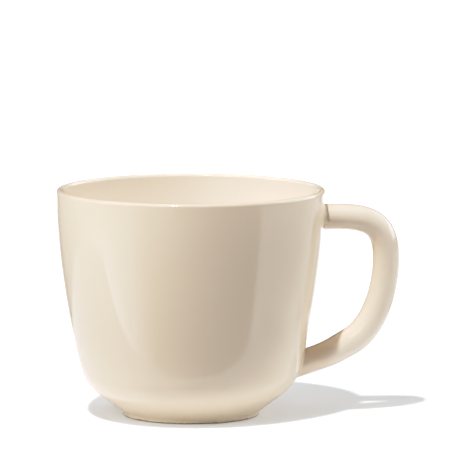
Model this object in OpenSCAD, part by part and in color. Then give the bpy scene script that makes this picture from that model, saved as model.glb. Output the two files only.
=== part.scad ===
// Glazed coffee cup with a loop handle, cast in one piece.
// Millimetres. The origin is the centre of the foot on the table, +Z is up,
// and the handle reaches out along +X.

/* [Bowl] */
// Diameter of the bowl where it is widest, a little below the lip
bowl_d = 95; // [80:0.5:120]
// Height from the table to the top of the lip
cup_h = 80.5; // [65:0.5:110]
// How far the widest circle lies below the top of the lip
widest_drop = 5; // [3:0.5:10]
// How far the corner of the shoulder lies inside the widest circle
shoulder_in = 10.4; // [6:0.1:14]
// Lean of the wall from upright where it meets the shoulder, in degrees
wall_lean = 16.5; // [8:0.5:24]
// Radius that rounds the shoulder
shoulder_round = 17.7; // [8:0.1:22]
// Thickness of the wall below the lip
wall_t = 3.4; // [2.4:0.1:4.5]

/* [Lip] */
// Thickness of the lip, whose edge is fully rounded
lip_t = 2.4; // [1.6:0.1:3.4]
// Height over which the wall thins towards the lip
lip_taper = 14; // [6:0.5:25]

/* [Inside] */
// Height of the floor inside the cup above the table
floor_z = 6; // [4.5:0.1:9]
// Radius that blends the floor into the slope round it
floor_round = 16; // [5:0.5:17]

/* [Foot] */
// Width of the sloped underside, from the shoulder's corner in to the foot
underside_w = 12.9; // [8:0.1:16]
// Rise of the underside from level, in degrees
underside_rise = 36.5; // [25:0.1:50]
// Height of the foot's outer wall, up to the underside
foot_h = 1.3; // [0.9:0.1:3]
// Radius that blends the foot into the underside
foot_blend = 1.6; // [0.5:0.1:3]
// Radius of the foot's lower edges
foot_edge = 0.4; // [0.2:0.05:0.5]
// Width of the ring that the cup stands on
foot_ring_w = 3.4; // [2:0.1:6]
// Depth of the hollow inside the foot ring
foot_recess = 1.6; // [1:0.1:2.2]
// Radius in the corner of that hollow
recess_round = 0.9; // [0.4:0.1:1]

/* [Handle] */
// Depth of the upper arm's middle below the top of the lip
upper_arm_drop = 10.7; // [8:0.1:18]
// Reach of the handle's middle line beyond the widest circle
handle_reach = 22.35; // [16:0.05:34]
// How far that furthest point lies below the upper arm
reach_drop = 15.3; // [10:0.1:24]
// How far the upper arm runs on straight before it bends down
upper_pull = 13.5; // [8:0.1:18]
// How high above the furthest point the bend ends
corner_pull = 13.6; // [8:0.1:16]
// Length of the gentle curve below the furthest point
back_pull = 10.2; // [6:0.1:16]
// Height above the table where the lower arm's middle meets the wall
lower_root_z = 17.4; // [14:0.1:22]
// Rise of the lower arm from level at the wall, in degrees
lower_rise = 18; // [8:0.5:26]
// How far the elbow lies inside the furthest point
elbow_in = 13.1; // [8:0.1:16]
// How far the elbow lies above the lower root
elbow_up = 7.4; // [5:0.1:11]
// Rise of the arm from level at the elbow, in degrees
elbow_rise = 28; // [20:0.5:40]
// Length of the curve that leads down into the elbow
elbow_pull = 10.6; // [6:0.1:14]
// Thickness of the oval handle where it leaves the wall at the top
upper_root_t = 9; // [6:0.05:12]
// Thickness at the furthest point
grip_t = 9.45; // [6:0.05:13]
// Thickness at the elbow
elbow_t = 9.8; // [6:0.05:13]
// Thickness where it meets the wall at the bottom
lower_root_t = 8.9; // [6:0.05:12]
// Width of the oval handle from side to side
handle_w = 11.6; // [8:0.1:16]
// Radius of the fillet on top of the upper root
upper_fillet_top = 0.9; // [0.6:0.1:2.5]
// Radius of the fillet under the upper root
upper_fillet_under = 1.9; // [0.6:0.1:2.5]
// Radius of the fillet on top of the lower root
lower_fillet_top = 0.9; // [0.6:0.1:2.5]
// Radius of the fillet under the lower root
lower_fillet_under = 1.4; // [0.6:0.1:2.5]

/* [Hidden] */

glaze_colour = "antiquewhite";

// Steps round a turned surface, and along the arcs of its outline
turn_steps = 120;
arc_steps = 10;
edge_steps = 3;
wall_steps = 16;
// Sides of the handle's oval, and rings along its three curves
oval_sides = 28;
curve_steps = 10;
fillet_steps = 5;
// Angle at which a root fillet stops just short of lying flat on the wall
fillet_end = 80;
// Plain length of arm kept beyond a root fillet
root_margin = 0.8;
// Share of the wall's thickness that a root is sunk into the wall
root_sink = 0.4;
// Share of a straight stretch that a fillet may use up
fillet_share = 0.9;
// Pulls of the wall's curve, as shares of its length
wall_pull_low = 0.3;
wall_pull_high = 0.25;
// Halvings in the search for the wall along the handle's surface
search_steps = 26;

bowl_r = bowl_d / 2;
lip_r = lip_t / 2;
shoulder_r = bowl_r - shoulder_in;
foot_r = shoulder_r - underside_w;
foot_in_r = foot_r - foot_ring_w;
widest_z = cup_h - widest_drop;

function unit(v) = v / norm(v);
function towards(angle) = [cos(angle), sin(angle)];
function arc(centre, radius, from, to, steps) =
    [for (i = [0:steps]) centre + radius * towards(from + (to - from) * i / steps)];
function bezier(p, t) =
    pow(1 - t, 3) * p[0] + 3 * t * pow(1 - t, 2) * p[1] + 3 * t * t * (1 - t) * p[2] + pow(t, 3) * p[3];
function bezier_way(p, t) =
    unit(pow(1 - t, 2) * (p[1] - p[0]) + 2 * t * (1 - t) * (p[2] - p[1]) + t * t * (p[3] - p[2]));
function blend(a, b, t) = a + (b - a) * t * t * (3 - 2 * t);

// Foot and underside, as [radius, height]
under_way = towards(underside_rise);
foot_corner = [foot_r, foot_h];
foot_turn = 90 - underside_rise;
foot_run = min(foot_blend * tan(foot_turn / 2), fillet_share * (foot_h - foot_edge));
foot_blend_r = foot_run / tan(foot_turn / 2);
recess_round_r = min(recess_round, fillet_share * (foot_recess - foot_edge));

// Shoulder, rounded between the underside and the leaning wall
wall_way = [sin(wall_lean), cos(wall_lean)];
under_len = underside_w / cos(underside_rise);
shoulder_corner = foot_corner + under_way * under_len;
shoulder_turn = 90 - wall_lean - underside_rise;
shoulder_run = min(shoulder_round * tan(shoulder_turn / 2), fillet_share * under_len - foot_run);
shoulder_arc_r = shoulder_run / tan(shoulder_turn / 2);
under_normal = [sin(underside_rise), -cos(underside_rise)];
shoulder_start = shoulder_corner - under_way * shoulder_run;
shoulder_centre = shoulder_start - under_normal * shoulder_arc_r;

// The wall is one curve from the shoulder up to the widest circle
wall_foot = shoulder_corner + wall_way * shoulder_run;
wall_top = [bowl_r, widest_z];
wall_len = norm(wall_top - wall_foot);
wall_curve = [
    wall_foot,
    wall_foot + wall_way * wall_len * wall_pull_low,
    wall_top - [0, wall_len * wall_pull_high],
    wall_top,
];

outside = concat(
    arc([foot_r - foot_edge, foot_edge], foot_edge, -90, 0, edge_steps),
    arc([foot_r + foot_blend_r, foot_h - foot_run], foot_blend_r, 180, 180 - foot_turn, arc_steps / 2),
    arc(shoulder_centre, shoulder_arc_r, underside_rise - 90, -wall_lean, arc_steps),
    [for (i = [1:wall_steps]) bezier(wall_curve, i / wall_steps)]
);

// Half circle over the lip, then down the inner wall, which thickens below the lip
function thickness(z) = blend(wall_t, lip_t, min(1, max(0, (z - cup_h + lip_taper) / (lip_taper - lip_r))));
function inner_wall(t) =
    let (p = bezier(wall_curve, t), way = bezier_way(wall_curve, t))
    p - thickness(p.y) * [way.y, -way.x];
// The inner shoulder and slope lie one wall inside the outer ones, and end at the flat floor
slope_top = shoulder_start - under_normal * wall_t;
slope_len = (slope_top.y - floor_z) / sin(underside_rise);
floor_corner_r = slope_top.x - slope_len * cos(underside_rise);
floor_run = min(floor_round * tan(underside_rise / 2), fillet_share * slope_len);
floor_arc_r = floor_run / tan(underside_rise / 2);
floor_centre = [floor_corner_r - floor_run, floor_z + floor_arc_r];

inside = concat(
    arc([bowl_r - lip_r, cup_h - lip_r], lip_r, 0, 180, arc_steps),
    [for (i = [wall_steps:-1:1]) inner_wall(i / wall_steps)],
    arc(shoulder_centre, shoulder_arc_r - wall_t, -wall_lean, underside_rise - 90, arc_steps),
    arc(floor_centre, floor_arc_r, underside_rise - 90, -90, arc_steps),
    [[0, floor_z]]
);

// Hollow under the base, from the axis out to the ring that the cup stands on
underneath = concat(
    [[0, foot_recess]],
    arc([foot_in_r - recess_round_r, foot_recess - recess_round_r], recess_round_r, 90, 0, arc_steps / 2),
    arc([foot_in_r + foot_edge, foot_edge], foot_edge, 180, 270, edge_steps)
);

// Radius of the bowl's outer surface at a height, read off its own outline
wall_table = [for (p = outside) [p.y, p.x]];
function wall_r(z) = lookup(z, wall_table);

// Middle line of the handle in the XZ plane, followed from the upper root to the lower one
tip = [bowl_r + handle_reach, cup_h - upper_arm_drop - reach_drop];
elbow = [tip.x - elbow_in, lower_root_z + elbow_up];
upper_wall = [wall_r(cup_h - upper_arm_drop), cup_h - upper_arm_drop];
lower_wall = [wall_r(lower_root_z), lower_root_z];
upper_way = [1, 0];
elbow_way = -towards(elbow_rise);
lower_way = -towards(lower_rise);

side_angles = [for (i = [0:oval_sides - 1]) 360 * i / oval_sides];
// Point of the oval at an angle from its outer side, on a ring whose middle and way are given
function oval(middle, way, t, grow, angle) =
    let (in_plane = (t / 2 + grow) * cos(angle), across = (handle_w / 2 + grow) * sin(angle))
    [middle.x - way.y * in_plane, across, middle.y + way.x * in_plane];

// Distance from a point to the bowl's surface along a direction, found by halving. The handle's
// surface lies nearer to the wall there than the radius of the foot.
function along(p, away, d) = [p.x + away.x * d, p.y, p.z + away.y * d];
function is_clear(p) = norm([p.x, p.y]) > wall_r(p.z);
function to_wall(p, away, low = -foot_r, high = foot_r, n = search_steps) =
    let (mid = (low + high) / 2)
    n == 0 ? mid
    : is_clear(along(p, away, mid)) ? to_wall(p, away, low, mid, n - 1)
    : to_wall(p, away, mid, high, n - 1);

// Fillet radius at an angle round a root, between those on the loop's outer and inner sides
function fillet_at(outer, inner, angle) = (outer + inner) / 2 + (outer - inner) / 2 * cos(angle);
// One ring of a root. side is 1 at the upper root, where the way runs out of the wall, and -1 at
// the lower one, where it runs in. lift falls to 0 as the fillet turns from the wall to the arm.
function root_ring(middle, way, side, t, outer, inner, lift, sink = 0) =
    [for (a = side_angles)
        let (r = fillet_at(outer, inner, a), p = oval(middle, way, t, r * (1 - cos(lift)), a))
        along(p, side * way, to_wall(p, side * way) + (sink > 0 ? -sink : r * (1 - sin(lift))))];
// Rings of a root: one sunk in the wall, then up the fillet
function root_rings(middle, way, side, t, outer, inner) = concat(
    [root_ring(middle, way, side, t, outer, inner, fillet_end, root_sink * wall_t)],
    [for (i = [fillet_steps:-1:0])
        root_ring(middle, way, side, t, outer, inner, fillet_end * i / fillet_steps)]
);
// The arm proper starts where every line along it is clear of the root's fillet
function root_end(middle, way, side, t, outer, inner) =
    let (clear = [for (a = side_angles)
        to_wall(oval(middle, way, t, 0, a), side * way) + fillet_at(outer, inner, a)])
    middle + side * way * (max(clear) + root_margin);
upper_start = root_end(upper_wall, upper_way, 1, upper_root_t, upper_fillet_top, upper_fillet_under);
lower_start = root_end(lower_wall, lower_way, -1, lower_root_t, lower_fillet_under, lower_fillet_top);

// Three curves that meet in line at the furthest point and at the elbow
lower_pull = norm(elbow - lower_start) / 2;
corner_curve = [upper_start, upper_start + upper_way * upper_pull, tip + [0, corner_pull], tip];
back_curve = [tip, tip - [0, back_pull], elbow - elbow_way * elbow_pull, elbow];
arm_curve = [elbow, elbow + elbow_way * lower_pull, lower_start - lower_way * lower_pull, lower_start];
function curve_rings(curve, from_t, to_t, first) =
    [for (i = [first:curve_steps]) let (t = i / curve_steps)
        [for (a = side_angles) oval(bezier(curve, t), bezier_way(curve, t), blend(from_t, to_t, t), 0, a)]];

// The bowl with its lip, foot ring and hollow base, turned from one outline
module bowl() {
    rotate_extrude($fn = turn_steps) polygon(concat(outside, inside, underneath));
}

// A loft: rings of points joined by triangles, with a fan over each end
module loft(rings) {
    sides = len(rings[0]);
    last = len(rings) - 1;
    first_hub = sides * len(rings);
    skin = [for (i = [0:last - 1], j = [0:sides - 1])
        let (k = (j + 1) % sides, a = i * sides + j, b = i * sides + k)
        each [[a, b, a + sides], [b, b + sides, a + sides]]];
    first_fan = [for (j = [0:sides - 1]) [first_hub, (j + 1) % sides, j]];
    last_fan = [for (j = [0:sides - 1]) [first_hub + 1, last * sides + j, last * sides + (j + 1) % sides]];
    points = concat([for (ring = rings) each ring], [middle_of(rings[0]), middle_of(rings[last])]);
    polyhedron(points, concat(skin, first_fan, last_fan));
}
function total(list, i = 0) = i == len(list) - 1 ? list[i] : list[i] + total(list, i + 1);
function middle_of(ring) = total(ring) / len(ring);
function reversed(list) = [for (i = [len(list) - 1:-1:0]) list[i]];

// The loop handle: two filleted roots and the three curves between them
module handle() {
    loft(concat(
        root_rings(upper_wall, upper_way, 1, upper_root_t, upper_fillet_top, upper_fillet_under),
        curve_rings(corner_curve, upper_root_t, grip_t, 0),
        curve_rings(back_curve, grip_t, elbow_t, 1),
        curve_rings(arm_curve, elbow_t, lower_root_t, 1),
        reversed(root_rings(
            lower_wall, lower_way, -1, lower_root_t, lower_fillet_under, lower_fillet_top))
    ));
}

// Bowl and handle are one solid
module cup() {
    color(glaze_colour) union() {
        bowl();
        handle();
    }
}

cup();
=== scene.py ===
"""Glazed coffee cup with a loop handle: the looks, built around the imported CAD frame.

The bowl is turned from one outline, and the handle is drawn out of its wall ring by ring.
Lengths are in metres. The origin is the centre of the foot, +Z is up and the handle points along +X.
"""
import math
from bisect import bisect_left

import bmesh
import bpy
from bpy.props import FloatProperty, FloatVectorProperty, IntProperty, PointerProperty
from bpy.types import Operator, Panel, PropertyGroup
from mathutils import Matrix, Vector
from mathutils.geometry import interpolate_bezier


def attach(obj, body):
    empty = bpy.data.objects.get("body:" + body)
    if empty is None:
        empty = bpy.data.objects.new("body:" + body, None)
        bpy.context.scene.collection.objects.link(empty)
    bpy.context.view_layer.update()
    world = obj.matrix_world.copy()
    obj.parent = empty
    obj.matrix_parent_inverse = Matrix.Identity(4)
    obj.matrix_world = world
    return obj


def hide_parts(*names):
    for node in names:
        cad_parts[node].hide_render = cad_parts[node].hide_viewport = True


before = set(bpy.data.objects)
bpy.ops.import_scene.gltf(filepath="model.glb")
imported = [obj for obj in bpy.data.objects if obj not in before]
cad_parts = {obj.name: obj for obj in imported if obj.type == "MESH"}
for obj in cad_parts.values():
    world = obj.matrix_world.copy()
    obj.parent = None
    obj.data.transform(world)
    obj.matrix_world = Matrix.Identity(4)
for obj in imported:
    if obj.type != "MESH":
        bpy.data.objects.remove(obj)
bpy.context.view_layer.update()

bl_info = {
    "name": "Glazed coffee cup",
    "version": (1, 0, 0),
    "blender": (4, 5, 0),
    "location": "View3D > Sidebar > Coffee Cup",
    "description": "Turned bowl with a loop handle, its cream glaze and a plain studio stage",
    "category": "Add Mesh",
}

MERGE_DISTANCE = 1e-6

# Steps along the outline's curves and arcs
CURVE_STEPS, SHOULDER_STEPS, INNER_STEPS, LIP_STEPS = 400, 100, 60, 20
BLEND_STEPS, RIM_STEPS, RECESS_STEPS, EDGE_STEPS = 8, 8, 6, 5
# Pulls of the wall's curve at its lower and upper end, as shares of its length
WALL_PULLS = (0.3, 0.25)
# Share of a straight stretch that a fillet may use up
FILLET_SHARE = 0.9
# How far from a point the wall is looked for, and the halvings of that search
SEARCH_REACH, SEARCH_STEPS = 0.03, 40
# How far inside the outer surface a face still belongs to it
SKIN = 0.001
# Steps from the rim of a root's block over the wall to its fillet, and up the fillet
ROOT_STEPS, FILLET_STEPS = 6, 8

# Depth, below the wall's outer face, of the line that divides inside from outside, and the heights
# that it passes. It starts between the underside and the floor.
DIVIDE_DEPTH = 0.0012
DIVIDE_START = 0.0046
DIVIDE_LEVELS = (0.0054, 0.007, 0.009, 0.011, 0.014, 0.017, 0.02, 0.026, 0.034, 0.044, 0.054, 0.064, 0.075)
# Half the width over which the inside's paler colour, painted light, fades in across that line
DIVIDE_FADE = 0.0004
# The handle's paler colour, painted light, fades in from just inside the widest circle to well outside it
HANDLE_FADE = (-0.0015, 0.0055)
# Depths below the top of the lip over which its worn tint fades in
LIP_DEPTHS = (0.0012, 0.0002)
# Heights where the foot's painted colour starts and where it is strongest: partly a warm thin-glaze tint,
# partly painted light that lifts the shade near the table
FOOT_TINT_AND_LIGHT_HEIGHTS = (0.0065, 0.0012)
# Heights over which the glaze gives way to bare clay, darkened as painted contact shade, and how far that
# line wanders upwards
CLAY_AND_SHADE_HEIGHTS, CLAY_AND_SHADE_WANDER = (0.00012, 0.00004), 0.0008


def length(name, default, description):
    """A size that a user can change, in metres."""
    return FloatProperty(name=name, description=description, default=default, precision=5,
                         unit="LENGTH", subtype="DISTANCE")


def turn(name, default, description):
    """An angle that a user can change. The default is given in degrees."""
    return FloatProperty(name=name, description=description, default=math.radians(default),
                         unit="ROTATION", subtype="ANGLE")


def colour(name, default, description):
    """A colour that a user can change."""
    return FloatVectorProperty(name=name, description=description, default=default, size=3,
                               min=0, max=1, subtype="COLOR")


def share(name, default, description):
    """A plain factor from 0 to 1."""
    return FloatProperty(name=name, description=description, default=default, min=0, max=1, subtype="FACTOR")


def amount(name, default, description):
    """A plain number, such as a strength."""
    return FloatProperty(name=name, description=description, default=default, min=0)


def count(name, default, least, description):
    """A number of faces or steps."""
    return IntProperty(name=name, description=description, default=default, min=least)


class CupSizes(PropertyGroup):
    """Sizes of the bowl and its foot."""
    bowl_d: length("Bowl diameter", 0.095, "Diameter of the bowl where it is widest")
    cup_h: length("Height", 0.0805, "Height from the table to the top of the lip")
    widest_drop: length("Widest circle drop", 0.005, "How far the widest circle lies below the lip's top")
    shoulder_in: length("Shoulder inset", 0.0104, "How far the shoulder lies inside the widest circle")
    wall_lean: turn("Wall lean", 16.5, "Lean of the wall from upright where it meets the shoulder")
    shoulder_round: length("Shoulder radius", 0.0177, "Radius that rounds the shoulder")
    wall_t: length("Wall thickness", 0.0034, "Thickness of the wall below the lip")
    lip_t: length("Lip thickness", 0.0024, "Thickness of the lip, whose edge is fully rounded")
    lip_taper: length("Lip taper", 0.014, "Height over which the wall thins towards the lip")
    floor_z: length("Floor height", 0.006, "Height of the floor inside the cup above the table")
    floor_round: length("Floor radius", 0.016, "Radius that blends the floor into the slope round it")
    underside_w: length("Underside width", 0.0129, "Width of the sloped underside")
    underside_rise: turn("Underside rise", 36.5, "Rise of the underside from level")
    foot_h: length("Foot height", 0.0013, "Height of the foot's outer wall")
    foot_blend: length("Foot blend", 0.0016, "Radius that blends the foot into the underside")
    foot_edge: length("Foot edge", 0.0004, "Radius of the foot's lower edges")
    foot_ring_w: length("Foot ring width", 0.0034, "Width of the ring that the cup stands on")
    foot_recess: length("Foot recess", 0.0016, "Depth of the hollow inside the foot ring")
    recess_round: length("Recess radius", 0.0009, "Radius in the corner of that hollow")
    row: length("Row height", 0.0012, "Height of one row of faces on the wall")
    turn_steps: count("Steps round", 240, 32, "Steps round the turned bowl")


class HandleSizes(PropertyGroup):
    """Sizes of the loop handle and its roots."""
    upper_arm_drop: length("Upper arm drop", 0.0107, "Depth of the upper arm's middle below the lip's top")
    handle_reach: length("Reach", 0.02235, "Reach of the middle line beyond the widest circle")
    reach_drop: length("Reach drop", 0.0153, "How far the furthest point lies below the upper arm")
    upper_pull: length("Upper pull", 0.0135, "How far the upper arm runs on straight before it bends")
    corner_pull: length("Corner pull", 0.0136, "How high above the furthest point the bend ends")
    back_pull: length("Back pull", 0.0102, "Length of the gentle curve below the furthest point")
    lower_root_z: length("Lower root height", 0.0174, "Height where the lower arm's middle meets the wall")
    lower_rise: turn("Lower arm rise", 18, "Rise of the lower arm from level at the wall")
    elbow_in: length("Elbow inset", 0.0131, "How far the elbow lies inside the furthest point")
    elbow_up: length("Elbow height", 0.0074, "How far the elbow lies above the lower root")
    elbow_rise: turn("Elbow rise", 28, "Rise of the arm from level at the elbow")
    elbow_pull: length("Elbow pull", 0.0106, "Length of the curve that leads down into the elbow")
    upper_root_t: length("Upper root thickness", 0.009, "Thickness where it leaves the wall at the top")
    grip_t: length("Grip thickness", 0.00945, "Thickness at the furthest point")
    elbow_t: length("Elbow thickness", 0.0098, "Thickness at the elbow")
    lower_root_t: length("Lower root thickness", 0.0089, "Thickness where it meets the wall at the bottom")
    handle_w: length("Width", 0.0116, "Width of the oval handle from side to side")
    upper_fillet_top: length("Upper fillet, top", 0.0009, "Fillet radius on top of the upper root")
    upper_fillet_under: length("Upper fillet, underside", 0.0019, "Fillet radius under the upper root")
    lower_fillet_top: length("Lower fillet, top", 0.0009, "Fillet radius on top of the lower root")
    lower_fillet_under: length("Lower fillet, underside", 0.0014, "Fillet radius under the lower root")
    root_margin: length("Root margin", 0.0008, "Plain length of arm kept beyond a root's fillet")
    block_half: count("Root block", 8, 4, "Half the faces along a side of the block that a root grows from")


class GlazeLook(PropertyGroup):
    """Colours and finish of the glaze."""
    cream: colour("Cream", (0.84, 0.688, 0.522), "Main colour of the glaze")
    # The inside and the handle are painted towards this pale colour as painted light, brighter than the
    # lighting makes them; the cream's random mottle leans towards it too
    pale_tone_and_painted_light: colour("Pale", (0.91, 0.8, 0.672), "Colour where the glaze lies thicker, as inside the cup")
    # The foot is painted towards this colour: partly a warm thin-glaze tint, partly painted light that lifts
    # the shade near the table
    foot_tint_and_painted_light: colour("Thin", (0.95, 0.8, 0.57), "Colour where the glaze runs thin over the foot")
    edge: colour("Edge", (0.8, 0.62, 0.44), "Colour where the glaze runs thin over the lip")
    # The bare clay is darkened, so it also paints the contact shade where the foot meets the table
    clay_and_contact_shade: colour("Clay", (0.42, 0.34, 0.25), "Bare clay under the foot")
    # How far the handle is painted towards the pale colour, as painted light
    handle_painted_light: share("Handle paleness", 0.5, "How far the handle's colour goes from cream to pale")
    clay_grain: share("Clay grain", 0.28, "How much darker the grain of the clay gets")
    ior: amount("Index of refraction", 1.5, "Index of refraction of the glaze")
    roughness: share("Roughness", 0.08, "Roughness of the satin glaze")
    wander: share("Roughness wander", 0.03, "How far the roughness strays to either side")
    clay_roughness: share("Clay roughness", 0.75, "Roughness of the bare clay")
    wave_depth: length("Wave depth", 12e-6, "Depth of the slow waves in the glaze")
    peel_depth: length("Peel depth", 1.6e-6, "Depth of the fine orange peel in the glaze")
    grain_depth: length("Grain depth", 24e-6, "Depth of the clay's grain")


class StageLook(PropertyGroup):
    """Light and camera of the studio stage."""
    camera_distance: length("Camera distance", 1.896, "Level distance from the foot's centre to the camera")
    camera_side: length("Camera side step", 0.01208, "How far right of the foot's centre the camera stands")
    camera_height: length("Camera height", 0.305, "Height of the camera above the table")
    camera_down: turn("Camera pitch", 7.14, "Pitch of the camera below level")
    camera_turn: turn("Camera turn", 7, "Turn of the camera round the cup, away from the handle")
    camera_lens: amount("Lens", 432.32, "Focal length of the camera, in millimetres")
    key_power: amount("Key strength", 2.85, "Strength of the key light")
    key_size: turn("Key size", 1.7, "Angle that the key light fills, which sets how soft the shadow is")
    soft_power: amount("Soft light", 1.0, "Strength of all the soft boxes together")
    backdrop: amount("Backdrop", 1.6, "Brightness of the backdrop that the camera sees")
    paper: colour("Table", (0.905, 0.92, 0.94), "Colour of the table")
    paper_seen: colour("Table seen", (0.885, 0.92, 0.955), "Colour of the table to the camera")
    table_lift: share("Table lift", 0.19, "How far the camera sees the table's shadows lifted")
    table_glow: amount("Table glow", 0.035, "Strength of the light that comes up through the table")
    table_front: length("Table front", 0.061, "How far the table reaches in front of the foot's centre")
    table_left: length("Table left", 0.3, "How far it reaches to the left")
    table_right: length("Table right", 0.13, "How far it reaches to the right")
    table_back: length("Table back", 0.13, "How far it reaches to the back")


# Soft light from the studio, as boxes far away: azimuth from the camera to its right, elevation,
# half width, half height and softness in degrees, and strength
SOFT_BOXES = {
    "front left, high": (-30.1, 33.6, 8.3, 11.9, 3.4, 4.46),
    "left, level": (-78.2, 18.2, 16.5, 7.5, 3.1, 7.5),
    "left, low": (-69, -42, 14, 19, 24, 4.5),
    "left, below level": (-78, -15, 33, 11, 11, 0.95),
    "back left, below level": (-130, -8, 25, 12, 8, 0.45),
    "left, beside the table": (-87.3, -29.1, 12.1, 16.3, 16.5, 3.3),
    "front left, floor": (-37.9, -54.1, 44, 16.4, 10.9, 1.1),
    "right, level": (112.2, 14.5, 26.3, 8.1, 4, 4.57),
    "right, high": (91.8, 34.2, 9.9, 10.7, 3.9, 2.47),
    "back right, high": (135.9, 32, 13.8, 19.2, 6.8, 2.02),
    "right, low": (104, -10.3, 41.5, 6.7, 2.5, 1.5),
    "right, beside the table": (92, -27, 30, 10, 3, 1.9),
    "front left, top": (-36.7, 48.7, 10.5, 13.4, 8.2, 1.49),
    "back left, high": (-143.4, 60.4, 24.7, 8.8, 8.1, 2.2),
    "back, low": (173.9, -11.4, 20.7, 7.8, 9, 3.06),
    "front, high": (13.7, 36.7, 6.6, 10.1, 3, 1.15),
    "front, overhead": (0, 60, 22, 5, 3, 1.4),
    "overhead": (0, 84.1, 185, 16.3, 4.7, 0.99),
}
# Way from the cup to the key light
KEY_WAY = (-0.226, -0.380, 1)
# How much of a soft box's softness its upper and lower sides take
SOFT_UPRIGHT = 0.6
# The picture's tone curve, as points of light and display level: highlights ease off into white
WHITE_LEVEL = 1.25
TONES = ((0.45, 0.45), (0.657, 0.64), (0.849, 0.77), (1.119, 0.9))


# The bowl's outline, as points of radius and height

def towards(angle):
    """Unit step at an angle from level."""
    return Vector((math.cos(angle), math.sin(angle)))


def arc(centre, radius, start, end, steps):
    """Points along an arc, both ends included."""
    return [centre + radius * towards(start + (end - start) * i / steps) for i in range(steps + 1)]


def blend(a, b, t):
    """Eases from a to b as t goes from 0 to 1."""
    t = min(1, max(0, t))
    return a + (b - a) * t * t * (3 - 2 * t)


def evenly(points, spacing):
    """The same line with evenly spaced points, both ends kept."""
    run = [0]
    for a, b in zip(points, points[1:]):
        run.append(run[-1] + (b - a).length)
    steps = max(1, round(run[-1] / spacing))
    spaced = []
    for i in range(steps + 1):
        at = run[-1] * i / steps
        k = min(max(bisect_left(run, at), 1), len(run) - 1)
        part = (at - run[k - 1]) / max(run[k] - run[k - 1], MERGE_DISTANCE)
        spaced.append(points[k - 1].lerp(points[k], part))
    return spaced


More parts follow.
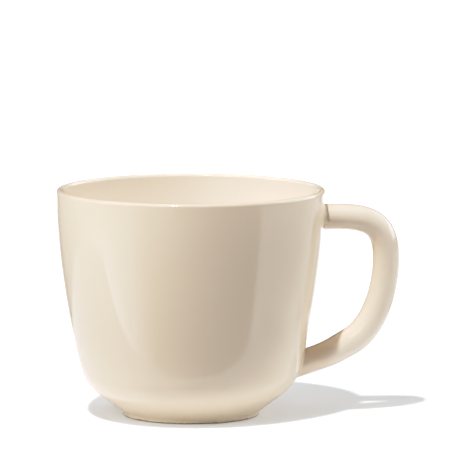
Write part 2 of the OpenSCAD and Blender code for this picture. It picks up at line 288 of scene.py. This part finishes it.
class BowlOutline:
    """The outline that the bowl is turned from, and the radius of its wall at a height."""

    def __init__(self, s):
        quarter = math.pi / 2
        bowl_r, lip_r = s.bowl_d / 2, s.lip_t / 2
        shoulder_r = bowl_r - s.shoulder_in
        foot_r = shoulder_r - s.underside_w
        foot_in_r = foot_r - s.foot_ring_w
        widest_z = s.cup_h - s.widest_drop
        rise = s.underside_rise
        out, up = Vector((1, 0)), Vector((0, 1))

        # Foot and underside
        under_way = towards(rise)
        under_normal = Vector((math.sin(rise), -math.cos(rise)))
        foot_turn = quarter - rise
        foot_run = min(s.foot_blend * math.tan(foot_turn / 2), FILLET_SHARE * (s.foot_h - s.foot_edge))
        foot_blend_r = foot_run / math.tan(foot_turn / 2)
        foot_corner = Vector((foot_r, s.foot_h))
        shoulder_corner = foot_corner + under_way * s.underside_w / math.cos(rise)

        # Shoulder, and the wall above it
        wall_way = Vector((math.sin(s.wall_lean), math.cos(s.wall_lean)))
        shoulder_turn = quarter - s.wall_lean - rise
        shoulder_run = s.shoulder_round * math.tan(shoulder_turn / 2)
        shoulder_start = shoulder_corner - under_way * shoulder_run
        shoulder_centre = shoulder_start - under_normal * s.shoulder_round
        wall_foot = shoulder_corner + wall_way * shoulder_run
        wall_top = Vector((bowl_r, widest_z))
        wall_len = (wall_top - wall_foot).length
        low_pull, high_pull = WALL_PULLS
        wall = interpolate_bezier(wall_foot, wall_foot + wall_way * wall_len * low_pull,
                                  wall_top - up * wall_len * high_pull, wall_top, CURVE_STEPS)
        lip_start = Vector((bowl_r, s.cup_h - lip_r))

        shoulder = arc(shoulder_centre, s.shoulder_round, rise - quarter, -s.wall_lean, SHOULDER_STEPS)
        foot_centre = Vector((foot_r + foot_blend_r, s.foot_h - foot_run))
        foot_arc = arc(foot_centre, foot_blend_r, math.pi, math.pi - foot_turn, BLEND_STEPS)
        edge = arc(Vector((foot_r - s.foot_edge, s.foot_edge)), s.foot_edge, -quarter, 0, EDGE_STEPS)
        self.fine = [foot_arc[-1]] + shoulder + wall[1:] + [lip_start]
        self.outside = edge[:-1] + foot_arc[:-1] + evenly(self.fine, s.row)

        # Inside, one wall thickness in from the outside
        def thickness(z):
            """Thickness of the wall at a height."""
            return blend(s.wall_t, s.lip_t, (z - s.cup_h + s.lip_taper) / (s.lip_taper - lip_r))

        inner = [lip_start - out * s.lip_t]
        for i in range(RIM_STEPS - 1, 0, -1):
            z = widest_z + (lip_start.y - widest_z) * i / RIM_STEPS
            inner.append(Vector((bowl_r - thickness(z), z)))
        for below, here in zip(wall[-2::-1], wall[:0:-1]):
            way = (here - below).normalized()
            inner.append(here - thickness(here.y) * Vector((way.y, -way.x)))
        inner += arc(shoulder_centre, s.shoulder_round - s.wall_t, -s.wall_lean, rise - quarter, INNER_STEPS)
        slope_top = shoulder_start - under_normal * s.wall_t
        slope_len = (slope_top.y - s.floor_z) / math.sin(rise)
        floor_corner = slope_top.x - slope_len * math.cos(rise)
        floor_run = min(s.floor_round * math.tan(rise / 2), FILLET_SHARE * slope_len)
        floor_arc_r = floor_run / math.tan(rise / 2)
        floor_centre = Vector((floor_corner - floor_run, s.floor_z + floor_arc_r))
        inner += arc(floor_centre, floor_arc_r, rise - quarter, -quarter, INNER_STEPS)
        lip = arc(Vector((bowl_r - lip_r, s.cup_h - lip_r)), lip_r, 0, math.pi, LIP_STEPS)
        floor = [Vector((inner[-1].x * part, s.floor_z)) for part in (0.75, 0.5, 0.25, 0)]
        self.inside = lip[1:-1] + evenly(inner, s.row) + floor

        # Underneath, from the axis out to the ring that the cup stands on
        recess_r = min(s.recess_round, FILLET_SHARE * (s.foot_recess - s.foot_edge))
        recess_centre = Vector((foot_in_r - recess_r, s.foot_recess - recess_r))
        recess = arc(recess_centre, recess_r, quarter, 0, RECESS_STEPS)
        ceiling = [Vector((recess[0].x * part, s.foot_recess)) for part in (0, 0.25, 0.5, 0.75)]
        inner_edge_centre = Vector((foot_in_r + s.foot_edge, s.foot_edge))
        inner_edge = arc(inner_edge_centre, s.foot_edge, math.pi, 1.5 * math.pi, EDGE_STEPS)
        self.underneath = ceiling + recess + inner_edge

        self.heights = [p.y for p in self.outside]
        self.fine_heights = [p.y for p in self.fine]

    def whole(self):
        """All of the outline, from the axis under the foot round to the axis inside."""
        return self.underneath + self.outside + self.inside

    def wall_r(self, z):
        """Radius of the outer surface at a height."""
        k = min(max(bisect_left(self.fine_heights, z), 1), len(self.fine) - 1)
        a, b = self.fine[k - 1], self.fine[k]
        return a.x + (b.x - a.x) * (z - a.y) / (b.y - a.y)

    def on_wall(self, y, z):
        """The point of the outer wall on the handle's side, at a sideways place and a height."""
        return Vector((math.sqrt(self.wall_r(z) ** 2 - y * y), y, z))

    def reach(self, p, away):
        """How far the wall lies from a point, along a direction that leads out of the cup."""
        low, high = -SEARCH_REACH, SEARCH_REACH
        for _ in range(SEARCH_STEPS):
            mid = (low + high) / 2
            q = p + away * mid
            if math.hypot(q.x, q.y) > self.wall_r(q.z):
                high = mid
            else:
                low = mid
        return (low + high) / 2


def oval(middle, way, t, w, grow, angle):
    """Point of the handle's oval at an angle from the loop's outer side.

    Middle and way are the ring's middle and the arm's direction in the XZ plane, t and w are the
    oval's thickness and width, and grow is what a fillet adds all round.
    """
    in_plane = (t / 2 + grow) * math.cos(angle)
    across = (w / 2 + grow) * math.sin(angle)
    return Vector((middle.x - way.y * in_plane, across, middle.y + way.x * in_plane))


class Root:
    """Where one end of the handle grows out of the wall.

    Side is 1 where the arm's direction leads out of the wall, and -1 where it leads into it.
    """

    def __init__(self, outline, middle, way, side, t, w, outer_fillet, inner_fillet):
        self.outline, self.middle, self.way, self.side, self.t, self.w = outline, middle, way, side, t, w
        self.mean, self.swing = (outer_fillet + inner_fillet) / 2, (outer_fillet - inner_fillet) / 2
        self.away = Vector((way.x, 0, way.y)) * side

    def fillet(self, angle):
        """Fillet radius at an angle round the root."""
        return self.mean + self.swing * math.cos(angle)

    def ring(self, angles, lift):
        """One ring of the fillet: lift goes from a right angle, flat on the wall, to 0, along the arm."""
        ring = []
        for angle in angles:
            r = self.fillet(angle)
            p = oval(self.middle, self.way, self.t, self.w, r * (1 - math.cos(lift)), angle)
            ring.append(p + self.away * (self.outline.reach(p, self.away) + r * (1 - math.sin(lift))))
        return ring

    def end(self, angles, margin):
        """Where the plain arm starts, clear of the fillet."""
        ring = self.ring(angles, 0)
        middle = Vector((self.middle.x, 0, self.middle.y))
        clear = max((p - middle).dot(self.away) for p in ring)
        return self.middle + self.way * self.side * (clear + margin)


def open_block(bm, outline, height, half, turn_steps, side):
    """Takes a block of faces out of the wall round a root, and returns its rim in order round the root."""
    step = math.tau / turn_steps
    rows = outline.heights
    middle = min(range(len(rows)), key=lambda i: abs(rows[i] - height))
    middle = min(middle, len(rows) - 2 - half)
    low, high = rows[middle - half], rows[middle + half]
    reach = step * half
    block = []
    for f in bm.faces:
        c = f.calc_center_median()
        outer = math.hypot(c.x, c.y) > outline.wall_r(c.z) - SKIN
        if outer and low < c.z < high and abs(math.atan2(c.y, c.x)) < reach:
            block.append(f)
    bmesh.ops.delete(bm, geom=block, context="FACES")
    edge = MERGE_DISTANCE
    rim = {}
    for v in bm.verts:
        if v.is_boundary and low - edge <= v.co.z <= high + edge:
            column = round(math.atan2(v.co.y, v.co.x) / step)
            row = min(range(len(rows)), key=lambda i: abs(rows[i] - v.co.z)) - middle
            rim[column, row * side] = v
    side_run = range(-half, half)
    order = [(i, half) for i in side_run] + [(half, -i) for i in side_run]
    order += [(-i, -half) for i in side_run] + [(-half, i) for i in side_run]
    return [rim[key] for key in order]


def rim_edges(bm, ring):
    """The edges between the neighbours of a ring."""
    return [bm.edges.get((a, b)) for a, b in zip(ring, ring[1:] + ring[:1])]


def draw_out(bm, ring, places):
    """Extrudes an open rim, and moves the new rim to its places."""
    made = bmesh.ops.extrude_edge_only(bm, edges=rim_edges(bm, ring))["geom"]
    new = {v for v in made if isinstance(v, bmesh.types.BMVert)}
    drawn = []
    for v, place in zip(ring, places):
        follower = next(e.other_vert(v) for e in v.link_edges if e.other_vert(v) in new)
        follower.co = place
        drawn.append(follower)
    return drawn


def grow_root(bm, outline, ring, root, angles):
    """From the block's rim over the wall to the root, then up its fillet."""
    foot = root.ring(angles, math.pi / 2)
    start = [v.co.copy() for v in ring]
    for i in range(1, ROOT_STEPS):
        between = [a.lerp(b, i / ROOT_STEPS) for a, b in zip(start, foot)]
        ring = draw_out(bm, ring, [outline.on_wall(p.y, p.z) for p in between])
    for i in range(FILLET_STEPS, -1, -1):
        ring = draw_out(bm, ring, root.ring(angles, math.pi / 2 * i / FILLET_STEPS))
    return ring


def curve_ways(points):
    """The direction of a line at each of its points."""
    ends = [points[0]] + points + [points[-1]]
    return [(b - a).normalized() for a, b in zip(ends, ends[2:])]


def grow_arm(bm, ring, h, curve, from_t, to_t, spacing, angles, first):
    """Draws the arm out along one curve, easing its thickness."""
    fine = interpolate_bezier(*curve, CURVE_STEPS)
    points = evenly(fine, spacing)
    ways = curve_ways(points)
    ways[0] = (curve[1] - curve[0]).normalized()
    ways[-1] = (curve[3] - curve[2]).normalized()
    last = len(points) - 1
    for i in range(first, last + 1):
        t = blend(from_t, to_t, i / last)
        ring = draw_out(bm, ring, [oval(points[i], ways[i], t, h.handle_w, 0, a) for a in angles])
    return ring


def cup_mesh(s, h):
    """The whole cup as one closed mesh: the turned bowl, and the handle that grows out of its wall."""
    outline = BowlOutline(s)
    bm = bmesh.new()
    line = [bm.verts.new((p.x, 0, p.y)) for p in outline.whole()]
    for a, b in zip(line, line[1:]):
        bm.edges.new((a, b))
    bmesh.ops.spin(bm, geom=bm.verts[:] + bm.edges[:], cent=(0, 0, 0), axis=(0, 0, 1), dvec=(0, 0, 0),
                   angle=math.tau, steps=s.turn_steps, use_merge=True, use_duplicate=False)
    bmesh.ops.remove_doubles(bm, verts=bm.verts, dist=MERGE_DISTANCE)

    upper_z = s.cup_h - h.upper_arm_drop
    upper_wall = Vector((outline.wall_r(upper_z), upper_z))
    lower_wall = Vector((outline.wall_r(h.lower_root_z), h.lower_root_z))
    upper_way, lower_way, elbow_way = towards(0), -towards(h.lower_rise), -towards(h.elbow_rise)
    upper = Root(outline, upper_wall, upper_way, 1, h.upper_root_t, h.handle_w,
                 h.upper_fillet_top, h.upper_fillet_under)
    lower = Root(outline, lower_wall, lower_way, -1, h.lower_root_t, h.handle_w,
                 h.lower_fillet_under, h.lower_fillet_top)
    tip = Vector((s.bowl_d / 2 + h.handle_reach, upper_z - h.reach_drop))
    elbow = Vector((tip.x - h.elbow_in, h.lower_root_z + h.elbow_up))
    up = Vector((0, 1))

    # The handle has a side for each edge of the block's rim, and the rim starts at a corner
    sides = 8 * h.block_half
    angles = [math.tau * (k / sides - 1 / 8) for k in range(sides)]
    upper_ring = open_block(bm, outline, upper_z, h.block_half, s.turn_steps, 1)
    lower_ring = open_block(bm, outline, h.lower_root_z, h.block_half, s.turn_steps, -1)
    upper_ring = grow_root(bm, outline, upper_ring, upper, angles)
    lower_ring = grow_root(bm, outline, lower_ring, lower, angles)

    start, end = upper.end(angles, h.root_margin), lower.end(angles, h.root_margin)
    lower_pull = (elbow - end).length / 2
    bend = [start, start + upper_way * h.upper_pull, tip + up * h.corner_pull, tip]
    ring = grow_arm(bm, upper_ring, h, bend, h.upper_root_t, h.grip_t, s.row, angles, 0)
    back = [tip, tip - up * h.back_pull, elbow - elbow_way * h.elbow_pull, elbow]
    ring = grow_arm(bm, ring, h, back, h.grip_t, h.elbow_t, s.row, angles, 1)
    lower_arm = [elbow, elbow + elbow_way * lower_pull, end - lower_way * lower_pull, end]
    ring = grow_arm(bm, ring, h, lower_arm, h.elbow_t, h.lower_root_t, s.row, angles, 1)
    bmesh.ops.bridge_loops(bm, edges=rim_edges(bm, ring) + rim_edges(bm, lower_ring))
    bmesh.ops.recalc_face_normals(bm, faces=bm.faces)
    open_edges = sum(not e.is_manifold for e in bm.edges)
    if open_edges:
        raise RuntimeError(f"the cup's skin has {open_edges} open edges")
    for f in bm.faces:
        f.smooth = True
    mesh = bpy.data.meshes.new("cup_glazed")
    bm.to_mesh(mesh)
    bm.free()
    return mesh


# Finishes

def node(tree, kind, **values):
    """Adds a node. A keyword sets the node's own setting of that name, or else that input's default."""
    made = tree.nodes.new(kind)
    for key, value in values.items():
        if hasattr(made, key):
            setattr(made, key, value)
        else:
            made.inputs[key.replace("_", " ")].default_value = value
    return made


def group(name, inputs, outputs):
    """A new node group with its sockets. Inputs are (name, default), and outputs are names of values."""
    tree = bpy.data.node_groups.new(name, "ShaderNodeTree")
    for label, value in inputs:
        kind = "NodeSocketFloat" if isinstance(value, (int, float)) else "NodeSocketVector"
        tree.interface.new_socket(label, in_out="INPUT", socket_type=kind).default_value = value
    for label in outputs:
        tree.interface.new_socket(label, in_out="OUTPUT", socket_type="NodeSocketFloat")
    return tree, tree.nodes.new("NodeGroupInput"), tree.nodes.new("NodeGroupOutput")


def math_node(tree, operation, *values):
    """A Math node whose inputs are numbers or other nodes' sockets. Returns its output."""
    made = node(tree, "ShaderNodeMath", operation=operation)
    for socket, value in zip(made.inputs, values):
        if isinstance(value, (int, float)):
            socket.default_value = value
        else:
            tree.links.new(value, socket)
    return made.outputs[0]


def mottle_group():
    """Noise spread between two values."""
    inputs = [("Position", (0.0, 0.0, 0.0)), ("Scale", 50.0), ("Detail", 2.0), ("Low", 0.0), ("High", 1.0)]
    tree, given, out = group("Mottle", inputs, ["Value"])
    noise = node(tree, "ShaderNodeTexNoise")
    for name, socket in (("Position", "Vector"), ("Scale", "Scale"), ("Detail", "Detail")):
        tree.links.new(given.outputs[name], noise.inputs[socket])
    # Nearly all of the noise lies between 0.3 and 0.7
    spread = node(tree, "ShaderNodeMapRange", From_Min=0.3, From_Max=0.7)
    tree.links.new(noise.outputs["Fac"], spread.inputs["Value"])
    tree.links.new(given.outputs["Low"], spread.inputs["To Min"])
    tree.links.new(given.outputs["High"], spread.inputs["To Max"])
    tree.links.new(spread.outputs["Result"], out.inputs["Value"])
    return tree


def places_group(sizes):
    """Masks for the inside of the cup, the handle, the lip, the foot and the bare ring under it."""
    names = ("Inside", "Handle", "Lip", "Foot", "Clay")
    tree, given, out = group("Places on the cup", [("Position", (0.0, 0.0, 0.0))], names)
    outline, bowl_r = BowlOutline(sizes), sizes.bowl_d / 2
    at = node(tree, "ShaderNodeSeparateXYZ")
    tree.links.new(given.outputs["Position"], at.inputs[0])
    height = at.outputs["Z"]
    radius = math_node(tree, "SQRT", math_node(tree, "ADD", math_node(tree, "POWER", at.outputs["X"], 2.0),
                                               math_node(tree, "POWER", at.outputs["Y"], 2.0)))

    def ease(value, start, end):
        """Rises from 0 to 1 as the value goes from start to end."""
        made = node(tree, "ShaderNodeMapRange", interpolation_type="SMOOTHSTEP", From_Min=start, From_Max=end)
        tree.links.new(value, made.inputs["Value"])
        return made.outputs["Result"]

    # A line within the wall: what lies nearer to the axis is the inside. The curve works from 0 to
    # 1, which stands for a reach of a decimetre.
    reach = 0.1
    middle = node(tree, "ShaderNodeFloatCurve")
    line = middle.mapping.curves[0].points
    for z in DIVIDE_LEVELS:
        line.new(z / reach, (outline.wall_r(z) - DIVIDE_DEPTH) / reach)
    line.new(DIVIDE_START / reach, 0.0)
    line[0].location = (0.0, 0.0)
    line[len(line) - 1].location = (1.0, (bowl_r - DIVIDE_DEPTH) / reach)
    for point in line:
        point.handle_type = "VECTOR"
    middle.mapping.update()
    tree.links.new(math_node(tree, "DIVIDE", height, reach), middle.inputs["Value"])
    inwards = math_node(tree, "SUBTRACT", math_node(tree, "MULTIPLY", middle.outputs[0], reach), radius)
    tree.links.new(ease(inwards, -DIVIDE_FADE, DIVIDE_FADE), out.inputs["Inside"])
    tree.links.new(ease(at.outputs["X"], *(bowl_r + step for step in HANDLE_FADE)), out.inputs["Handle"])
    tree.links.new(ease(height, *(sizes.cup_h - depth for depth in LIP_DEPTHS)), out.inputs["Lip"])
    tree.links.new(ease(height, *FOOT_TINT_AND_LIGHT_HEIGHTS), out.inputs["Foot"])

    # The glaze is wiped off the ring, and ends in an uneven line. The bare clay there is darkened, as painted
    # contact shade where the foot meets the table
    uneven = node(tree, "ShaderNodeTexNoise", Scale=420.0, Detail=3.0)
    tree.links.new(given.outputs["Position"], uneven.inputs["Vector"])
    rise = math_node(tree, "MULTIPLY", uneven.outputs["Fac"], CLAY_AND_SHADE_WANDER)
    edge = math_node(tree, "SUBTRACT", height, rise)
    tree.links.new(ease(edge, *CLAY_AND_SHADE_HEIGHTS), out.inputs["Clay"])
    return tree


def glaze_material(look, sizes):
    """Cream satin glaze, painted paler inside and on the handle as painted light, and bare clay, darkened as
    painted contact shade, where the cup stands.
    """
    mat = bpy.data.materials.new("cream_glaze")
    mat.use_nodes = True
    tree = mat.node_tree
    link = tree.links.new
    surface = tree.nodes["Principled BSDF"]
    surface.inputs["IOR"].default_value = look.ior
    position = node(tree, "ShaderNodeTexCoord").outputs["Object"]
    places = node(tree, "ShaderNodeGroup", node_tree=places_group(sizes))
    link(position, places.inputs["Position"])
    mottle = mottle_group()

    def patchy(scale, detail, low, high):
        """Noise of that scale and detail, between two values."""
        made = node(tree, "ShaderNodeGroup", node_tree=mottle, Scale=scale, Detail=detail, Low=low, High=high)
        link(position, made.inputs["Position"])
        return made.outputs["Value"]

    def tinted(under, over, factor):
        """Goes from one colour to another as the factor goes from 0 to 1."""
        made = node(tree, "ShaderNodeMix", data_type="RGBA")
        for socket, value in zip((made.inputs[6], made.inputs[7]), (under, over)):
            if isinstance(value, bpy.types.NodeSocket):
                link(value, socket)
            else:
                socket.default_value = (*value, 1)
        link(factor, made.inputs[0])
        return made.outputs[2]

    # Colour: cream outside with slow random changes. Painted paler inside and on the handle, as painted
    # light, and lighter and warmer over the foot, partly a thin-glaze tint and partly painted light against
    # the shade near the table. A worn tint over the lip
    patches = patchy(scale=28, detail=2, low=-0.08, high=0.1)
    # Painted light: the handle half way and the inside fully towards the pale colour, over the random mottle
    handle_light_and_mottle = math_node(tree, "MULTIPLY_ADD", places.outputs["Handle"], look.handle_painted_light, patches)
    mottle_and_painted_light = math_node(tree, "MAXIMUM", places.outputs["Inside"], handle_light_and_mottle)
    # Painted light over the foot, patchy: it lifts the shade near the table, with a warm thin-glaze tint
    runs = patchy(scale=260, detail=4, low=0.2, high=1.0)
    foot_tint_and_painted_light = math_node(tree, "MULTIPLY", places.outputs["Foot"], runs)
    wear = patchy(scale=150, detail=3, low=-0.1, high=0.35)
    worn = math_node(tree, "MULTIPLY", places.outputs["Lip"], wear)
    glaze = tinted(tinted(tinted(look.cream, look.pale_tone_and_painted_light, mottle_and_painted_light), look.foot_tint_and_painted_light, foot_tint_and_painted_light), look.edge, worn)
    grain = patchy(scale=2600, detail=5, low=0.0, high=1.0)
    # Bare clay with its grain, darkened as painted contact shade where the foot meets the table
    clay_and_contact_shade = tinted(look.clay_and_contact_shade, [c * (1 - look.clay_grain) for c in look.clay_and_contact_shade], grain)
    link(tinted(glaze, clay_and_contact_shade, places.outputs["Clay"]), surface.inputs["Base Color"])

    # Finish: a satin gloss that wanders a little, and rough clay
    strays = patchy(scale=70, detail=3, low=-look.wander, high=look.wander)
    satin = math_node(tree, "ADD", strays, look.roughness)
    rough = node(tree, "ShaderNodeMix", B=look.clay_roughness)
    link(places.outputs["Clay"], rough.inputs["Factor"])
    link(satin, rough.inputs["A"])
    link(rough.outputs["Result"], surface.inputs["Roughness"])

    # Surface: slow waves and a fine orange peel in the glaze, and the clay's grain
    waves = patchy(scale=110, detail=2, low=0.0, high=1.0)
    peel = patchy(scale=850, detail=2, low=0.0, high=1.0)
    grit = math_node(tree, "MULTIPLY", grain, places.outputs["Clay"])
    normal = None
    for height, depth in ((waves, look.wave_depth), (peel, look.peel_depth), (grit, look.grain_depth)):
        bump = node(tree, "ShaderNodeBump", Distance=depth)
        link(height, bump.inputs["Height"])
        if normal is not None:
            link(normal, bump.inputs["Normal"])
        normal = bump.outputs["Normal"]
    link(normal, surface.inputs["Normal"])
    return mat


def soft_box_group():
    """A soft rectangle of light on the studio's sphere."""
    names = ("Azimuth", "Elevation", "Centre azimuth", "Centre elevation",
             "Half width", "Half height", "Softness", "Strength")
    tree, given, out = group("Soft box", [(name, 0.0) for name in names], ["Light"])
    box = given.outputs
    across = math_node(tree, "SUBTRACT", box["Azimuth"], box["Centre azimuth"])
    across = math_node(tree, "WRAP", across, math.pi, -math.pi)
    up = math_node(tree, "SUBTRACT", box["Elevation"], box["Centre elevation"])
    light = box["Strength"]
    for offset, half, soften in ((across, "Half width", 1.0), (up, "Half height", SOFT_UPRIGHT)):
        edge = math_node(tree, "MULTIPLY", box["Softness"], soften)
        fade = node(tree, "ShaderNodeMapRange", interpolation_type="SMOOTHSTEP")
        tree.links.new(math_node(tree, "ABSOLUTE", offset), fade.inputs["Value"])
        tree.links.new(math_node(tree, "ADD", box[half], edge), fade.inputs["From Min"])
        tree.links.new(math_node(tree, "SUBTRACT", box[half], edge), fade.inputs["From Max"])
        light = math_node(tree, "MULTIPLY", light, fade.outputs["Result"])
    tree.links.new(light, out.inputs["Light"])
    return tree


def studio_world(look):
    """The soft boxes, and plain white for the camera."""
    world = bpy.data.worlds.new("studio")
    world.use_nodes = True
    tree = world.node_tree
    place = node(tree, "ShaderNodeTexCoord")
    way = node(tree, "ShaderNodeSeparateXYZ")
    tree.links.new(place.outputs["Generated"], way.inputs[0])
    depth = math_node(tree, "MULTIPLY", way.outputs["Y"], -1.0)
    azimuth = math_node(tree, "ADD", math_node(tree, "ARCTAN2", way.outputs["X"], depth), look.camera_turn)
    elevation = math_node(tree, "ARCSINE", way.outputs["Z"])
    soft_box = soft_box_group()
    light = 0.0
    for name, (*angles, strength) in SOFT_BOXES.items():
        box = node(tree, "ShaderNodeGroup", node_tree=soft_box, label=name)
        tree.links.new(azimuth, box.inputs["Azimuth"])
        tree.links.new(elevation, box.inputs["Elevation"])
        for socket, value in zip(box.inputs[2:7], angles):
            socket.default_value = math.radians(value)
        box.inputs["Strength"].default_value = strength
        light = math_node(tree, "ADD", box.outputs["Light"], light)
    light = math_node(tree, "MULTIPLY", light, look.soft_power)
    path = node(tree, "ShaderNodeLightPath")
    choice = node(tree, "ShaderNodeMix", B=look.backdrop)
    tree.links.new(path.outputs["Is Camera Ray"], choice.inputs["Factor"])
    tree.links.new(light, choice.inputs["A"])
    backdrop = tree.nodes["Background"]
    backdrop.inputs["Color"].default_value = (1, 1, 1, 1)
    tree.links.new(choice.outputs["Result"], backdrop.inputs["Strength"])
    return world


def floor_material(look):
    """White table top, lit a little from below. The camera sees its shadows lifted towards white."""
    lift = look.table_lift
    mat = bpy.data.materials.new("white_paper")
    mat.use_nodes = True
    tree = mat.node_tree
    surface = tree.nodes["Principled BSDF"]
    surface.inputs["Roughness"].default_value = 1.0
    surface.inputs["Specular IOR Level"].default_value = 0.0
    surface.inputs["Emission Color"].default_value = (1, 1, 1, 1)
    seen = node(tree, "ShaderNodeLightPath").outputs["Is Camera Ray"]
    tone = node(tree, "ShaderNodeMix", data_type="RGBA")
    tone.inputs[6].default_value = (*look.paper, 1)
    tone.inputs[7].default_value = (*(c * (1 - lift) for c in look.paper_seen), 1)
    tree.links.new(seen, tone.inputs[0])
    tree.links.new(tone.outputs[2], surface.inputs["Base Color"])
    strength = math_node(tree, "ADD", math_node(tree, "MULTIPLY", seen, lift), look.table_glow)
    tree.links.new(strength, surface.inputs["Emission Strength"])
    return mat


class CUP_OT_body(Operator):
    """Adds the cup: its turned bowl and loop handle in one skin, with the cream glaze"""
    bl_idname = "mesh.coffee_cup_body"
    bl_label = "Cup"

    def execute(self, context):
        scene = context.scene
        sizes = scene.cup_sizes
        cup = bpy.data.objects.new("cup_glazed", cup_mesh(sizes, scene.cup_handle))
        scene.collection.objects.link(cup)
        cup.data.materials.append(glaze_material(scene.cup_glaze, sizes))
        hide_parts("cup")
        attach(cup, "root")
        return {"FINISHED"}


def around(azimuth, turned):
    """Level unit direction from the cup into the studio. Azimuth runs from the camera to its right."""
    a = azimuth - turned
    return Vector((math.sin(a), -math.cos(a), 0))


class CUP_OT_stage(Operator):
    """Adds the studio stage: a white floor, soft lights and the camera"""
    bl_idname = "scene.coffee_cup_stage"
    bl_label = "Stage"

    def execute(self, context):
        scene = context.scene
        look = scene.cup_stage
        turned = look.camera_turn
        view = scene.view_settings
        view.view_transform = "Standard"
        view.use_curve_mapping = True
        tones = view.curve_mapping
        tones.extend = "HORIZONTAL"
        tones.white_level = [WHITE_LEVEL] * 3
        combined = tones.curves[3]
        for light, level in TONES:
            combined.points.new(light / WHITE_LEVEL, level)
        tones.update()

        bm = bmesh.new()
        left, right, front, back = -look.table_left, look.table_right, -look.table_front, look.table_back
        corners = ((left, front), (right, front), (right, back), (left, back))
        bm.faces.new([bm.verts.new((x, y, 0)) for x, y in corners])
        mesh = bpy.data.meshes.new("floor")
        bm.to_mesh(mesh)
        bm.free()
        mesh.materials.append(floor_material(look))
        floor = bpy.data.objects.new("floor", mesh)
        floor.rotation_euler = (0, 0, -turned)
        scene.collection.objects.link(floor)

        scene.world = studio_world(look)

        key = bpy.data.lights.new("key", "SUN")
        key.energy = look.key_power
        key.angle = look.key_size
        key_object = bpy.data.objects.new("key", key)
        key_object.rotation_mode = "QUATERNION"
        key_object.rotation_quaternion = Vector(KEY_WAY).to_track_quat("Z", "Y")
        scene.collection.objects.link(key_object)

        camera = bpy.data.cameras.new("camera")
        camera.lens = look.camera_lens
        camera.clip_start, camera.clip_end = 0.05, 20
        camera_object = bpy.data.objects.new("camera", camera)
        level = around(0, turned) * look.camera_distance + around(math.pi / 2, turned) * look.camera_side
        camera_object.location = level + Vector((0, 0, look.camera_height))
        camera_object.rotation_euler = (math.pi / 2 - look.camera_down, 0, -turned)
        scene.collection.objects.link(camera_object)
        scene.camera = camera_object
        return {"FINISHED"}


class CUP_PT_panel(Panel):
    """Lists the steps that make the cup and its stage"""
    bl_idname = "CUP_PT_panel"
    bl_label = "Coffee Cup"
    bl_space_type = "VIEW_3D"
    bl_region_type = "UI"
    bl_category = "Coffee Cup"

    def draw(self, context):
        layout = self.layout
        layout.use_property_split = True
        scene = context.scene
        for settings, operator in ((scene.cup_sizes, None), (scene.cup_handle, None),
                                   (scene.cup_glaze, CUP_OT_body), (scene.cup_stage, CUP_OT_stage)):
            column = layout.column()
            for name in settings.__annotations__:
                column.prop(settings, name)
            if operator:
                layout.operator(operator.bl_idname)


CLASSES = (CupSizes, HandleSizes, GlazeLook, StageLook, CUP_OT_body, CUP_OT_stage, CUP_PT_panel)
SETTINGS = {"cup_sizes": CupSizes, "cup_handle": HandleSizes, "cup_glaze": GlazeLook, "cup_stage": StageLook}


def register():
    """Makes the settings, the steps and the panel known to Blender."""
    for cls in CLASSES:
        bpy.utils.register_class(cls)
    for name, settings in SETTINGS.items():
        setattr(bpy.types.Scene, name, PointerProperty(type=settings))


def unregister():
    """Takes them out again."""
    for name in SETTINGS:
        delattr(bpy.types.Scene, name)
    for cls in reversed(CLASSES):
        bpy.utils.unregister_class(cls)


def main():
    register()
    bpy.ops.mesh.coffee_cup_body()
    bpy.ops.scene.coffee_cup_stage()


if __name__ == "__main__":
    main()
